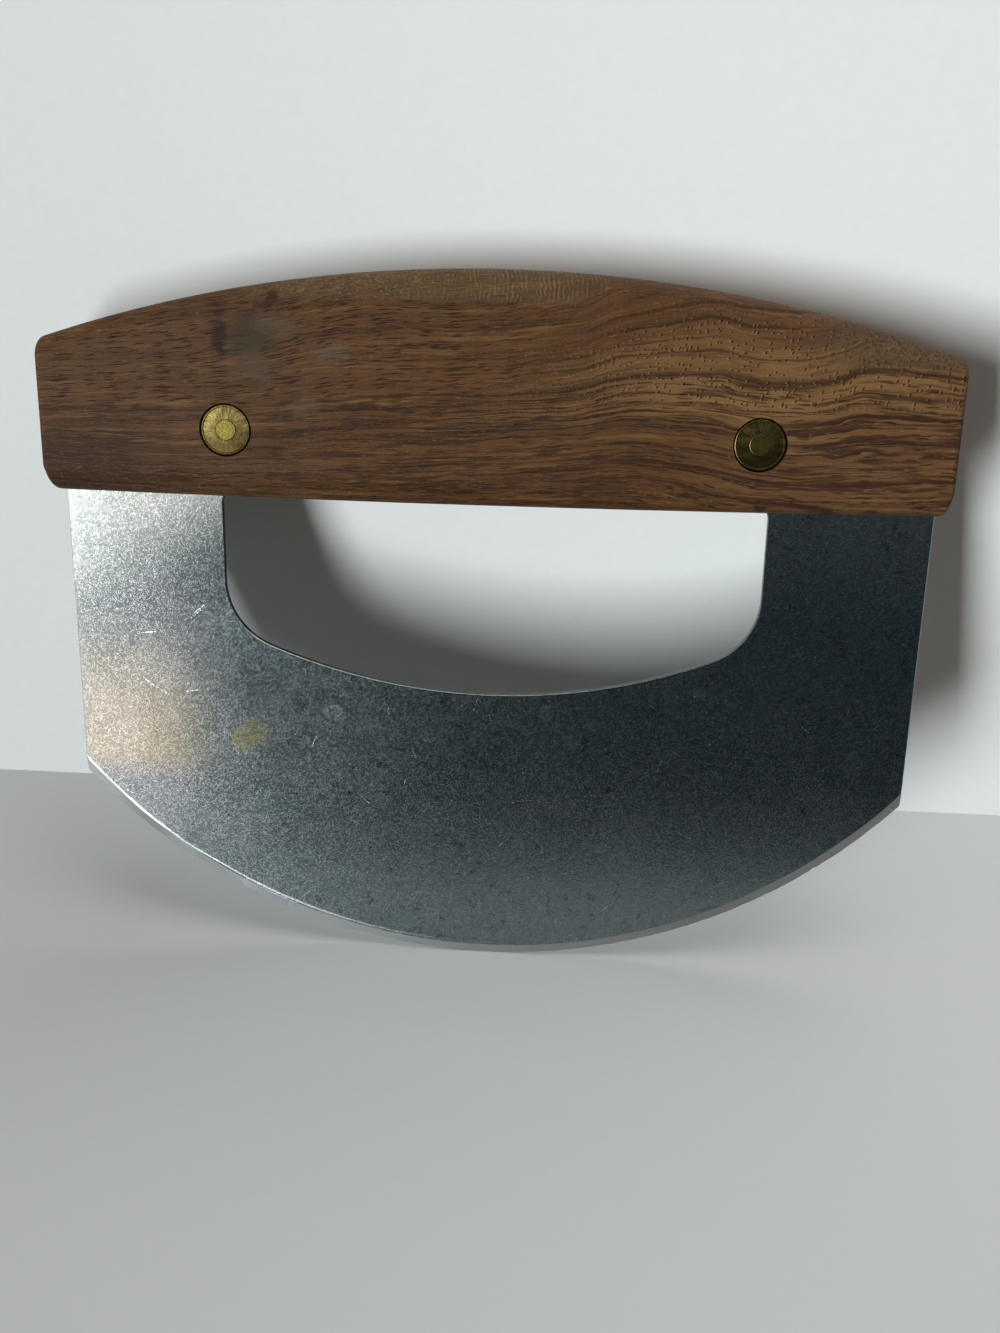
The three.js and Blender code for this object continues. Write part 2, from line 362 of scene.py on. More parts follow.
def traced_line(bench, x, line):
    """The height of a traced growth line along the board."""
    points = [((a + GRAIN_SPAN) / (2 * GRAIN_SPAN), (b - LINE_FLOOR) / LINE_RANGE) for a, b in line]
    along = (x + GRAIN_SPAN) / (2 * GRAIN_SPAN)
    curve = bench.node("ShaderNodeFloatCurve", {"points": points}, {"Value": along})
    return curve * LINE_RANGE + LINE_FLOOR


def grain_height(bench, x, y, z):
    """The height of a point measured between the two traced lines, with the wander of real wood added."""
    lower = traced_line(bench, x, LOWER_LINE)
    upper = traced_line(bench, x, UPPER_LINE)
    share = (z + y * SLANT + FRONT_SHIFT - lower) / (upper - lower)
    slow = bench.noise(bench.point(x * 0.05, y * 0.12, z * 0.16), 1.0) - 0.5
    quick = bench.noise(bench.point(x * 0.22, y * 0.4, z * 0.7), 2.0) - 0.5
    return LOWER_LEVEL + share * (UPPER_LEVEL - LOWER_LEVEL) + slow * 1.1 + quick * 0.7


print("the grain is traced through", len(LOWER_LINE) + len(UPPER_LINE), "points")

# %% Growth lines, pores and stains
GROWTH_LINES = [
    (105.0, -85, -30, 0.22, 0.6), (105.0, -25, 85, 0.30, 0.95), (105.0, 38, 62, 0.55, 0.7),
    (107.8, 4, 62, 0.26, 0.8), (109.3, -12, 40, 0.22, 0.6), (111.3, 18, 48, 0.28, 0.85),
    (113.1, 16, 58, 0.35, 0.7), (114.7, -34, 14, 0.25, 0.8), (112.4, -30, -2, 0.22, 0.6),
    (103.9, 60, 85, 0.20, 0.6), (100.6, 46, 85, 0.32, 0.9), (98.2, 46, 85, 0.24, 0.7),
    (94.0, 18, 85, 0.34, 0.95), (93.0, -30, 30, 0.24, 0.7), (96.6, -85, 5, 0.22, 0.6),
    (91.6, 10, 60, 0.3, 0.8), (99.4, -85, -40, 0.2, 0.6), (101.3, -85, 10, 0.18, 0.5),
]
STAINS = [
    (-39.6, 114.2, 5.6, 3.7, paint(57, 49, 37), 0.85), (-35.0, 116.2, 4.0, 2.2, paint(82, 73, 56), 0.5),
    (-39.0, 109.4, 4.6, 3.0, paint(78, 67, 52), 0.55), (-44.5, 114.2, 1.5, 3.4, paint(42, 29, 20), 0.85),
    (-44.2, 117.9, 1.5, 0.8, paint(44, 30, 20), 0.6), (-26.0, 111.8, 3.0, 1.7, paint(92, 82, 65), 0.5),
    (-31.0, 103.2, 2.8, 2.2, paint(92, 78, 60), 0.4), (-35.6, 120.4, 1.6, 0.9, paint(46, 30, 19), 0.85),
    (-37.2, 119.2, 2.0, 0.8, paint(54, 36, 23), 0.8), (-39.2, 118.2, 1.9, 0.7, paint(58, 39, 26), 0.7),
    (19.0, 91.3, 7.0, 1.0, paint(54, 36, 24), 0.5),
]
LINE_TAPER = 5
LINE_FOOT = 1.6
LINE_CORE = 0.6
PORE_CORE = 0.45
STAIN_RIM = 1.15
STAIN_CORE = 0.45


def growth_lines(bench, x, height, wander):
    """Thin dark lines, each at its own height, between two places along the board."""
    lines = []
    for level, start, end, half, strength in GROWTH_LINES:
        begun = bench.fade(x, start - LINE_TAPER, start + LINE_TAPER)
        ended = bench.fade(x, end + LINE_TAPER, end - LINE_TAPER)
        line = bench.fade(abs(height - level) + wander, half * LINE_FOOT, half * LINE_CORE)
        lines.append(line * (begun * ended) * strength)
    return strongest(lines)


def pores(bench, x, height, size, share, reach):
    """Open pores: dark specks, each in its own cell of the given length and height; some cells stay empty."""
    length, tall = size
    cell = bench.cells(bench.point(x / length, height / tall, 0.0))
    luck = bench.parts(cell["Color"])[0]
    return bench.fade(cell["Distance"], reach, reach * PORE_CORE) * (luck > share)


def stained(bench, wood, x, z, broken):
    """Old stains: soft ovals with broken edges."""
    layers = []
    for middle, level, wide, tall, colour, strength in STAINS:
        reach = oval(x, z, middle, level, wide, tall) + broken
        layers.append((bench.fade(reach, STAIN_RIM, STAIN_CORE) * strength, colour))
    return bench.coats(wood, layers)


print(len(GROWTH_LINES), "growth lines and", len(STAINS), "stains")

# %% Ground colour and streaks
BROWN_LEFT = paint(85, 58, 36)
BROWN_MIDDLE = paint(88, 59, 32)
BROWN_RIGHT = paint(102, 72, 46)
UMBER_CORNER = paint(54, 39, 28)
GOLDEN_BAND = paint(119, 88, 53)
BROAD_SHADE = paint(72, 48, 31)
STREAK_DARK = paint(54, 34, 19)
STREAK_PALE = paint(134, 102, 62)


def walnut_ground(bench, x, height):
    """The main colours: brown, darker in the lower left corner, with a golden band on the right."""
    ground = bench.blend(bench.fade(x, -50, -15), BROWN_LEFT, BROWN_MIDDLE)
    corner = bench.fade(x, -45, -68) * bench.fade(height, 104, 99)
    golden = bench.fade(x, -12, 40) * bench.fade(height, 99.0, 100.8) * bench.fade(height, 111.5, 107.5)
    return bench.coats(ground, [
        (corner * 0.8, UMBER_CORNER),
        (golden, GOLDEN_BAND),
        (bench.fade(x, 25, 55) * (1 - golden), BROWN_RIGHT),
    ])


def streaked(bench, wood, x, y, height):
    """Broad shades, streaks and fibres; the last two are given back for the relief."""
    broad = bench.noise(bench.point(x * 0.03, y * 0.15, height * 0.3), 2.0)
    streak = bench.noise(bench.point(x * 0.035, y * 0.9, height * 1.15), 4.0, 0.62)
    fibre = bench.noise(bench.point(x * 0.2, y * 3.6, height * 4.2), 3.0, 0.6)
    tone = streak * 0.7 + fibre * 0.3
    wood = bench.coats(wood, [
        (bench.fade(broad, 0.5, 0.7) * 0.4, BROAD_SHADE),
        (bench.fade(tone, 0.5, 0.36) * 0.5, STREAK_DARK),
        (bench.fade(tone, 0.52, 0.66) * 0.4, STREAK_PALE),
    ])
    return wood, streak, fibre


print("the golden band is", round(GOLDEN_BAND[0] / BROWN_LEFT[0], 1), "times as light as the left end")

# %% Thin lines
THIN_LINE = paint(46, 29, 17)
CONTOUR_LINE = paint(44, 26, 15)
BROKEN_LINE = paint(44, 28, 17)
PALE_FLECK = paint(146, 118, 84)
GROWTH_LINE = paint(54, 30, 18)
BREAK_SIZE = (6.5, 0.4)


def lined(bench, wood, x, y, height, above):
    """Thin lines, pale flecks and the growth lines; most of the thin ones lie in the lower half."""
    thin = bench.noise(bench.point(x * 0.03, y * 1.6, height * 3.1), 2.0, 0.55)
    rings = bench.noise(bench.point(x * 0.022, y * 0.9, height * 0.75), 2.0, 0.6)
    drawn = bench.noise(bench.point(x * 0.09, y * 0.4, height * 1.3), 1.0)
    inner = bench.fade(abs(rings - 0.5), 0.05, 0.015)
    outer = bench.fade(abs(rings - 0.6), 0.04, 0.012)
    contour = inner.at_least(outer) * bench.fade(drawn, 0.36, 0.56)
    breaks = pores(bench, x, height, BREAK_SIZE, 0.35, 0.26)
    fleck = bench.noise(bench.point(x * 0.7, y * 4.0, height * 4.6), 2.0)
    wander = bench.noise(bench.point(x * 0.5, y * 0.5, height * 0.5), 3.0) * 0.3
    line = growth_lines(bench, x, height, wander)
    wood = bench.coats(wood, [
        (bench.fade(thin, 0.56, 0.63) * (0.85 - above * 0.55), THIN_LINE),
        (contour * (0.75 - above * 0.45), CONTOUR_LINE),
        (breaks * (0.8 - above * 0.5), BROKEN_LINE),
        (bench.fade(fleck, 0.6, 0.7) * 0.24, PALE_FLECK),
        (line * 0.95, GROWTH_LINE),
    ])
    return wood, line, breaks


print("broken lines are about", round(BREAK_SIZE[0] * 0.4, 1), "mm long")

# %% Open pores
PORE_DARK = paint(36, 22, 13)
# The pores' dark colour, and the pale colour of the painted highlights beside them.
PORE_PAINTED_GLINT = paint(164, 137, 98)
DASH_SIZE = (4.4, 0.44)
LONG_DASH_SIZE = (9.5, 0.42)
DOT_SIZE = (1.05, 0.72)


def pored(bench, wood, x, y, height, above):
    """Pores cut along their length on the left, as dashes, and across it on the right, as dots; each dot has a
    pale painted highlight beside it, up and to the left.
    """
    right = bench.fade(x, -10, 32)
    face = bench.fade(abs(y), 4.5, 7.5)
    dashes = pores(bench, x, height - x * 0.08, DASH_SIZE, 0.5, 0.26)
    dashes = dashes.at_least(pores(bench, x + 31.7, height - x * 0.03, LONG_DASH_SIZE, 0.45, 0.26))
    slanted = height - x * 0.45
    dots = pores(bench, x, slanted, DOT_SIZE, 0.45, 0.23)
    # Painted highlights: the same cells as the dots, shifted up and to the left and painted pale.
    painted_glints = pores(bench, x + 0.34, slanted - 0.1, DOT_SIZE, 0.45, 0.2)
    fewer = 1 - bench.fade(height, 110.5, 113.0) * 0.65
    open_right = right * bench.fade(height, 100.6, 102.5) * fewer * face
    pore = (dashes * (1 - right) * (0.4 + above * 0.6) * (0.3 + face * 0.7)).at_least(dots * open_right)
    wood = bench.coats(wood, [
        (painted_glints * (open_right + (1 - right) * 0.2) * 0.3, PORE_PAINTED_GLINT),
        (pore * 0.92, PORE_DARK),
    ])
    return wood, pore


print("dots lie in cells of", DOT_SIZE, "mm")

# %% The figured crown and the dull shoulder
CROWN_GROUND_AND_SHEEN = paint(98, 80, 56)
FIGURE_PALE = paint(138, 117, 82)
FIGURE_DARK = paint(62, 46, 30)
SHOULDER_GROUND = paint(72, 56, 43)
SHOULDER_PALE = paint(136, 120, 100)
SHOULDER_DARK = paint(48, 36, 27)
CROWN_LEVEL = 122.5


def figured(bench, wood, x, y, z):
    """The speckle and ripple on the crown over a lighter, greyer ground that is partly painted sheen, and the
    dull, rubbed shoulder on the right.
    """
    over_crown = z - CROWN_LEVEL
    wave = bench.noise(bench.point(x * 0.5, y * 0.5, z * 0.8), 2.0) * 9 + over_crown * over_crown * 0.6
    patches = bench.fade(bench.noise(bench.point(x * 0.8, y, z), 2.0), 0.35, 0.6)
    ripple = (x * 8.5 + wave).sine() * patches
    speck = (bench.noise(bench.point(x * 1.9, y * 1.9, z * 2.6), 2.0) - 0.5) * 5
    ripple = speck + (ripple - speck) * bench.fade(x, -14, 2)
    torn = (bench.noise(bench.point(x * 0.12, y * 0.4, z * 0.4), 3.0) - 0.5) * 6
    over = bench.fade(z + y * 0.6 + torn * 0.15, 114.0, 116.0)
    band = bench.fade(x + torn, -46, -32) * bench.fade(x + torn, 24, 8) * over
    grit = bench.noise(bench.point(x * 2.2, y * 2.2, z * 2.2), 2.0)
    dull = bench.fade(x, 46, 62) * bench.fade(z, 110.5, 113.0)
    return bench.coats(wood, [
        # The crown band's lighter, greyer ground: partly the wood's figure, partly painted sheen where the top
        # roundover catches the light.
        (band * 0.4, CROWN_GROUND_AND_SHEEN),
        (band * bench.fade(ripple, 0.1, 0.8) * 0.36, FIGURE_PALE),
        (band * bench.fade(ripple, -0.2, -0.8) * 0.32, FIGURE_DARK),
        (dull * 0.6, SHOULDER_GROUND),
        (dull * bench.fade(grit, 0.6, 0.72) * 0.35, SHOULDER_PALE),
        (dull * bench.fade(grit, 0.46, 0.34) * 0.6, SHOULDER_DARK),
    ])


print("the figure lies", CROWN_LEVEL, "mm above the edge")

# %% Oiled walnut
def walnut_finish():
    material, bench = new_finish("oiled_walnut")
    x, y, z = surface_place(bench)
    height = grain_height(bench, x, y, z)
    above = bench.fade(height, 103.5, 106.5)
    wood = walnut_ground(bench, x, height)
    wood, streak, fibre = streaked(bench, wood, x, y, height)
    wood, line, breaks = lined(bench, wood, x, y, height, above)
    wood, pore = pored(bench, wood, x, y, height, above)
    wood = figured(bench, wood, x, y, z)
    broken = (bench.noise(bench.point(x * 0.45, y * 0.5, height * 1.1), 4.0, 0.65) - 0.5) * 2.4
    front = bench.fade(y, 2.0, -2.0)
    wood = bench.blend(front, wood, stained(bench, wood, x, z, broken))

    relief = fibre * 0.5 + streak * 0.2 - pore * 0.5 - line * 0.3 - breaks * 0.2
    end_painted(bench, {
        "Base Color": wood,
        "Roughness": 0.55 + fibre * 0.2 + pore * 0.1,
        "Specular IOR Level": 0.14,
        "Normal": bench.bump(relief, 0.5, 0.12),
    })
    return material


walnut = walnut_finish()
print("walnut:", len(walnut.node_tree.nodes), "nodes")

# %% [markdown]
# The board itself follows a rule, so Geometry Nodes make it. A rectangle with its corners filleted is swept
# along a line. Every point is then moved up or down: the crown is an arc, the underside bows, and both ends
# are eased by drawing the section in. A saw kerf and two stepped rivet holes are cut last, as in the shop.

# %% The crowned board
KERF_WIDTH = 2 * half_sheet + 0.4 * MM
KERF_DEPTH = 20.5 * MM
HOLE_GAP = 0.25 * MM
SHANK_RADIUS = 2.45 * MM
HEAD_RECESS = 0.2 * MM
HEAD_THICKNESS = 1.8 * MM
CUT_MARGIN = 2.0 * MM
SANDING = 0.05 * MM
SANDING_ALONG = 60
SANDING_ACROSS = 90
ROW_SPACING = 0.6 * MM
grip_sizes = {
    "Length": 2 * half_length,
    "Thickness": 2 * half_thickness,
    "Underside": UNDERSIDE_LEVEL,
    "End height": GRIP_END_HEIGHT,
    "Middle height": middle_height,
    "Bow": UNDERSIDE_BOW,
    "Crown round": CROWN_ROUND,
    "Lower round": LOWER_ROUND,
    "End arris": END_ARRIS,
    "Sanding": SANDING,
    "Row spacing": ROW_SPACING,
    "Stations": 180,
    "Kerf width": KERF_WIDTH,
    "Kerf depth": KERF_DEPTH,
    "Rivet offset": rivet_offset,
    "Rivet level": rivet_level,
    "Seat radius": head_radius + HOLE_GAP,
    "Seat depth": HEAD_RECESS + HEAD_THICKNESS + HOLE_GAP,
    "Hole radius": SHANK_RADIUS + HOLE_GAP,
    "Hole facets": 72,
}


def board_blank(bench, entry):
    """The filleted section swept along the grip: a straight prism, as tall as the middle of the grip."""
    outline = bench.node(
        "GeometryNodeCurvePrimitiveQuadrilateral",
        {"mode": "RECTANGLE"},
        {"Width": entry["Thickness"], "Height": entry["Middle height"]},
    )
    upper = bench.parts(bench.node("GeometryNodeInputPosition"))[1] > 0.0
    corner = entry["Lower round"] + (entry["Crown round"] - entry["Lower round"]) * upper
    filleted = bench.node(
        "GeometryNodeFilletCurve", {"mode": "POLY"}, {"Curve": outline, "Count": 16, "Radius": corner}
    )
    rows = bench.node(
        "GeometryNodeResampleCurve", {"mode": "LENGTH"}, {"Curve": filleted, "Length": entry["Row spacing"]}
    )
    middle = entry["Underside"] + entry["Middle height"] / 2
    half = entry["Length"] / 2
    ends = {"Start": bench.point(0 - half, 0.0, middle), "End": bench.point(half, 0.0, middle)}
    path = bench.node("GeometryNodeCurvePrimitiveLine", {"mode": "POINTS"}, ends)
    stations = bench.node(
        "GeometryNodeResampleCurve", {"mode": "COUNT"}, {"Curve": path, "Count": entry["Stations"]}
    )
    sweep = {"Curve": stations, "Profile Curve": rows, "Fill Caps": True}
    return bench.node("GeometryNodeCurveToMesh", None, sweep)


def crown_board(bench, entry, blank):
    """Moves the prism's points so that it gets its crown, its bow and its eased ends."""
    x, y, z = bench.parts(bench.node("GeometryNodeInputPosition"))
    half = entry["Length"] / 2
    along = (x / half * (math.pi / 2)).sine()
    place = along * half
    rise = entry["Middle height"] - entry["End height"]
    radius = (half * half + rise * rise) / (rise * 2)
    drop = radius - (radius * radius - place * place).root()
    bow = entry["Bow"] * (1 - along * along)

    foot = entry["Underside"] + entry["Lower round"]
    side = entry["Middle height"] - entry["Crown round"] - entry["Lower round"]
    over = z - foot
    below = over.at_most(0.0) * (1 + bow / entry["Lower round"])
    flat = over.at_least(0.0).at_most(side) * (1 - drop / side)
    above = (over - side).at_least(0.0)
    level = foot + below + flat + above

    arris = entry["End arris"]
    into = (arris - (half - abs(place))).at_least(0.0)
    fall = arris - (arris * arris - into * into).at_least(0.0).root()
    strokes = bench.point(place * SANDING_ALONG, y * SANDING_ACROSS, level * SANDING_ACROSS)
    uneven = bench.noise(strokes, 2.0) - 0.5
    across = bench.vector("MULTIPLY", bench.node("GeometryNodeInputNormal"), (0.0, 1.0, 1.0))
    outward = bench.vector("NORMALIZE", across, (0.0, 0.0, 0.0))
    drawn_in = bench.scaled(outward, uneven * entry["Sanding"] - fall)
    target = bench.vector("ADD", bench.point(place, y, level), drawn_in)
    return bench.node("GeometryNodeSetPosition", None, {"Geometry": blank, "Position": target})


print("the kerf is", round(KERF_WIDTH / MM, 2), "mm wide and", round(KERF_DEPTH / MM, 1), "mm deep")

# %% The kerf and the rivet holes
QUARTER_TURN = (math.pi / 2, 0.0, 0.0)
GRIP_CREASE = 35


def rivet_places(bench, entry):
    """Two points on one line, where the rivets go."""
    start = bench.point(0 - entry["Rivet offset"], 0.0, entry["Rivet level"])
    apart = bench.point(entry["Rivet offset"] * 2, 0.0, 0.0)
    line = {"Count": 2, "Start Location": start, "Offset": apart}
    return bench.node("GeometryNodeMeshLine", {"mode": "OFFSET"}, line)


def saw_and_drill(bench, entry, board):
    """Cuts the kerf for the blade's strap and the two stepped holes for the rivets."""
    deep = entry["Kerf depth"] + CUT_MARGIN
    size = bench.point(entry["Length"] * 2, entry["Kerf width"], deep)
    kerf = bench.node("GeometryNodeMeshCube", None, {"Size": size})
    kerf_level = entry["Underside"] + entry["Kerf depth"] - deep / 2
    kerf = bench.node(
        "GeometryNodeTransform", None, {"Geometry": kerf, "Translation": bench.point(0.0, 0.0, kerf_level)}
    )
    places = rivet_places(bench, entry)
    seat_depth = entry["Seat depth"] + CUT_MARGIN
    seat_level = entry["Thickness"] / 2 + CUT_MARGIN - seat_depth / 2
    drills = [
        (entry["Hole radius"], entry["Thickness"] * 2, 0.0),
        (entry["Seat radius"], seat_depth, seat_level),
        (entry["Seat radius"], seat_depth, 0 - seat_level),
    ]
    cutters = [kerf]
    for radius, depth, level in drills:
        rod = bench.node(
            "GeometryNodeMeshCylinder", None,
            {"Vertices": entry["Hole facets"], "Radius": radius, "Depth": depth},
        )
        shift = bench.point(0.0, level, 0.0)
        laid = bench.node(
            "GeometryNodeTransform", None, {"Geometry": rod, "Rotation": QUARTER_TURN, "Translation": shift}
        )
        pair = bench.node("GeometryNodeInstanceOnPoints", None, {"Points": places, "Instance": laid})
        cutters.append(bench.node("GeometryNodeRealizeInstances", None, {"Geometry": pair}))
    cut = {"operation": "DIFFERENCE", "solver": "MANIFOLD"}
    for cutter in cutters:
        board = bench.node("GeometryNodeMeshBoolean", cut, {"Mesh 1": board, "Mesh 2": cutter})
    return board


grip_bench = new_tree("crowned_grip", grip_sizes)
grip_entry = grip_bench.node("NodeGroupInput")
crowned = crown_board(grip_bench, grip_entry, board_blank(grip_bench, grip_entry))
end_tree(grip_bench, grip_entry, saw_and_drill(grip_bench, grip_entry, crowned))
grip = run_tree("walnut_grip", bpy.data.meshes.new("blank"), grip_bench, grip_sizes, walnut)
finish_mesh(grip, GRIP_CREASE)

# %% [markdown]
# The blade is sheet steel, cut out and ground. Its steel is plain grey, but it isn't plain to look at: years
# of use have left fine scratches in every direction. Each short scratch is a little rougher and paler than
# the steel beside it, so bright light breaks up into glitter there, and the rest stays dark, nearly a mirror.
# A scratch is a noise stretched along one direction; five directions cover the sheet. A few long scratches,
# dark hair marks, dried water spots and one yellow stain are laid over them. The wall of the opening is dark.
# The ground bevel is painted lighter towards the left, a painted reflection of the window, and a pale line of
# painted highlight runs along its upper border.

# %% Scratches, hair marks and water spots
SCRATCH_ANGLES = (9, 41, 73, 104, 146)
HAIR_ANGLES = (-12, 38, -58)
WATER_SPOTS = [
    (-28.5, 47.5, 1.6, 1.2), (10.8, 49.2, 1.1, 1.4), (15.8, 43.6, 0.9, 1.2), (-14.0, 55.5, 1.0, 0.8),
    (19.0, 47.0, 0.9, 0.9), (38.0, 54.0, 1.3, 1.0), (66.5, 41.5, 1.5, 2.3),
]


def turned(x, z, degrees):
    """Distances along and across a direction in the plane of the blade."""
    cosine = math.cos(math.radians(degrees))
    sine = math.sin(math.radians(degrees))
    return x * cosine + z * sine, z * cosine - x * sine


def scratches(bench, x, y, z):
    """The relief of all short scratches, their marks, and the marks of a few long ones."""
    grains = []
    marks = []
    lines = []
    for number, angle in enumerate(SCRATCH_ANGLES):
        along, across = turned(x, z, angle)
        grain = bench.noise(bench.point(along * 1.6, across * 6.4, y + 7.0 * number), 1.0)
        stray = bench.noise(bench.point(along * 0.09, across * 2.6, y + 11.0 * number), 1.0)
        grains.append(grain)
        marks.append(bench.fade(grain, 0.6, 0.72))
        lines.append(bench.fade(stray, 0.785, 0.83))
    return sum(grains[1:], grains[0]), strongest(marks), strongest(lines)


def hair_marks(bench, x, y, z):
    """Dark marks like short hairs: where a slow, winding noise crosses its middle, kept here and there."""
    marks = []
    for number, angle in enumerate(HAIR_ANGLES):
        along, across = turned(x, z, angle)
        winding = bench.noise(bench.point(along * 0.16, across * 0.5, y + 3.0 * number), 2.0)
        kept = bench.noise(bench.point(along * 0.3, across * 0.45, y + 20.0 + 5.0 * number), 0.0)
        marks.append(bench.fade(abs(winding - 0.5), 0.016, 0.004) * bench.fade(kept, 0.62, 0.68))
    return strongest(marks)


def water_spots(bench, x, z, uneven):
    """Rings left by drops that dried."""
    marks = []
    for spot in WATER_SPOTS:
        reach = oval(x, z, *spot)
        rim = bench.fade(abs(reach + uneven - 1), 0.25, 0.05)
        marks.append(rim * 0.6 + bench.fade(reach, 1.0, 0.7) * 0.4)
    return strongest(marks)


print(len(SCRATCH_ANGLES), "directions of scratches,", len(WATER_SPOTS), "water spots")

# %% The ground edge and the stain
EDGE_RISE = 34.0 * MM
edge_radius = (half_blade ** 2 + EDGE_RISE ** 2) / (2 * EDGE_RISE)
BEVEL_WIDTH = 1.75 * MM
STAIN_OVAL = (-44.0, 42.6, 4.8, 3.6)
STAIN_SLOPE = 0.35
WALL_MARGIN = 27.0


def ground_marks(bench, x, z, uneven):
    """The bevel, its left part painted lighter as a painted reflection of the window, and a pale line of
    painted highlight along its upper border.
    """
    down = z - edge_radius / MM
    ground = (x * x + down * down).root() - (edge_radius - BEVEL_WIDTH) / MM
    bevel = bench.fade(ground, -0.1, 0.05)
    # Painted reflection of the window: the bevel lighter towards the left.
    painted_bevel_reflection = bench.fade(x, 12, -42) * bench.fade(x, -62, -50)
    # Painted highlight: a pale line along the bevel's upper border.
    border = ground + 0.15 + bench.fade(x, -58, -50) * 0.3 + uneven * 0.3
    painted_edge_highlight = bench.fade(abs(border), 0.3, 0.1) * bench.fade(x, 5, -35)
    return bevel, painted_bevel_reflection, painted_edge_highlight


def yellow_stain(bench, x, y, z, uneven):
    """One slanting stain with a broken edge."""
    broken = bench.noise(bench.point(x * 0.35, y, z * 0.35), 3.0, 0.6) - 0.5
    slanted = z - (x - STAIN_OVAL[0]) * STAIN_SLOPE
    reach = oval(x, slanted, *STAIN_OVAL) + broken * 2.2 + uneven * 1.2
    return bench.fade(reach, 1.2, 0.4)


def opening_wall(bench, x, y, z):
    """The cut wall of the finger opening, between the two faces."""
    skin = half_sheet / MM
    side = half_blade / MM - WALL_MARGIN
    inside = bench.fade(abs(x), side, side - 0.5) * bench.fade(z, 50.0, 51.0)
    return bench.fade(abs(y), skin - 0.02, skin - 0.1) * inside


print("the edge is an arc of", round(edge_radius / MM, 1), "mm radius")

# %% Scratched steel
STEEL_COOL = (0.235, 0.262, 0.266, 1)
STEEL_GREY = (0.268, 0.276, 0.29, 1)
STEEL_TEAL = (0.20, 0.262, 0.272, 1)
SCRATCH_PALE = (0.60, 0.63, 0.62, 1)
LONG_SCRATCH = (0.50, 0.54, 0.54, 1)
HAIR_DARK = (0.10, 0.115, 0.12, 1)
SPOT_PALE = (0.46, 0.49, 0.49, 1)
STAIN_YELLOW = (0.46, 0.43, 0.23, 1)
WALL_DARK = (0.04, 0.042, 0.042, 1)
BEVEL_GREY = (0.36, 0.365, 0.36, 1)
# The colours of the painted reflection on the bevel and of the painted highlight line above it.
BEVEL_PAINTED_REFLECTION = (0.55, 0.58, 0.60, 1)
HIGHLIGHT_LINE_PALE = (0.62, 0.65, 0.67, 1)


def steel_finish():
    material, bench = new_finish("scratched_steel")
    x, y, z = surface_place(bench)
    front = bench.fade(y, 0.2, -0.2)
    warp = bench.noise(bench.point(x * 0.12, y, z * 0.12), 2.0) - 0.5
    bent_x = x + warp * 3
    bent_z = z + warp * 2
    relief, short, long = scratches(bench, bent_x, y, bent_z)
    hair = hair_marks(bench, bent_x, y, bent_z)
    uneven = bench.noise(bench.point(x * 0.9, y, z * 0.9), 2.0) - 0.5
    spots = water_spots(bench, x, z, uneven) * front
    bevel, painted_bevel_reflection, painted_edge_highlight = ground_marks(bench, x, z, uneven)

    cloud = bench.noise(bench.point(x * 0.07, y, z * 0.07), 3.0, 0.6)
    steel = bench.blend(bench.fade(cloud, 0.38, 0.62), STEEL_COOL, STEEL_GREY)
    steel = bench.coats(steel, [
        (bench.fade(x, -64, -34) * 0.75, STEEL_TEAL),
        (short * 0.42, SCRATCH_PALE),
        (long * 0.4, LONG_SCRATCH),
        (hair * (0.2 + bench.fade(x, -58, -30) * 0.5), HAIR_DARK),
        (spots * 0.22, SPOT_PALE),
        (yellow_stain(bench, x, y, z, uneven) * front * 0.65, STAIN_YELLOW),
        (opening_wall(bench, x, y, z) * 0.85, WALL_DARK),
        # The bevel, with its painted reflection towards the left and its painted highlight line along the
        # upper border.
        (bevel, bench.blend(painted_bevel_reflection, BEVEL_GREY, BEVEL_PAINTED_REFLECTION)),
        (painted_edge_highlight * 0.8, HIGHLIGHT_LINE_PALE),
    ])
    worn = short * 0.07 + long * 0.08 + spots * 0.05
    end_painted(bench, {
        "Base Color": steel,
        "Metallic": 1.0,
        "Roughness": 0.16 + (cloud - 0.5) * 0.06 + worn + bevel * 0.13 + painted_edge_highlight * 0.1,
        "Normal": bench.bump(relief, 0.2, 0.02),
    })
    return material


steel = steel_finish()
print("steel:", len(steel.node_tree.nodes), "nodes")

# %% [markdown]
# A blade is one outline with a few openings, the same on both faces, so it is built by hand from loops of
# points. Each point on the outline has a partner on the faces: close by where the cut edge is only eased, and
# a bevel's width further in along the ground edge. Strips between the loops make the wall and the bevels, and
# each face is filled with its openings left out.

# %% The blade's outline
EDGE_LAND = 0.12 * MM
EASE = 0.12 * MM
TIP_RADIUS = 1.0 * MM
ARM_WIDTH = 28.0 * MM
OPENING_FLOOR = 52.2 * MM
OPENING_SWEEP = 106.5 * MM
OPENING_LOWER_CORNER = 12.7 * MM
OPENING_UPPER_CORNER = 2.5 * MM
STRAP_RISE = 0.5 * MM
half_opening = half_blade - ARM_WIDTH
DOWN = -math.pi / 2
ARM_STEPS = 90
EDGE_STEPS = 520
TIP_STEPS = 8
FLOOR_STEPS = 120
LOWER_CORNER_STEPS = 32
UPPER_CORNER_STEPS = 12
HOLLOW_PLACE = -51
HOLLOW_HALF = 8
HOLLOW_DEPTH = 0.5
RIPPLE_DEPTH = 0.025
LEAST_WEAR = 0.05
NICKS = [(-38.2, 0.3, 0.5), (-20.5, 0.1, 0.3), (33.0, 0.12, 0.4), (61.5, 0.16, 0.5)]


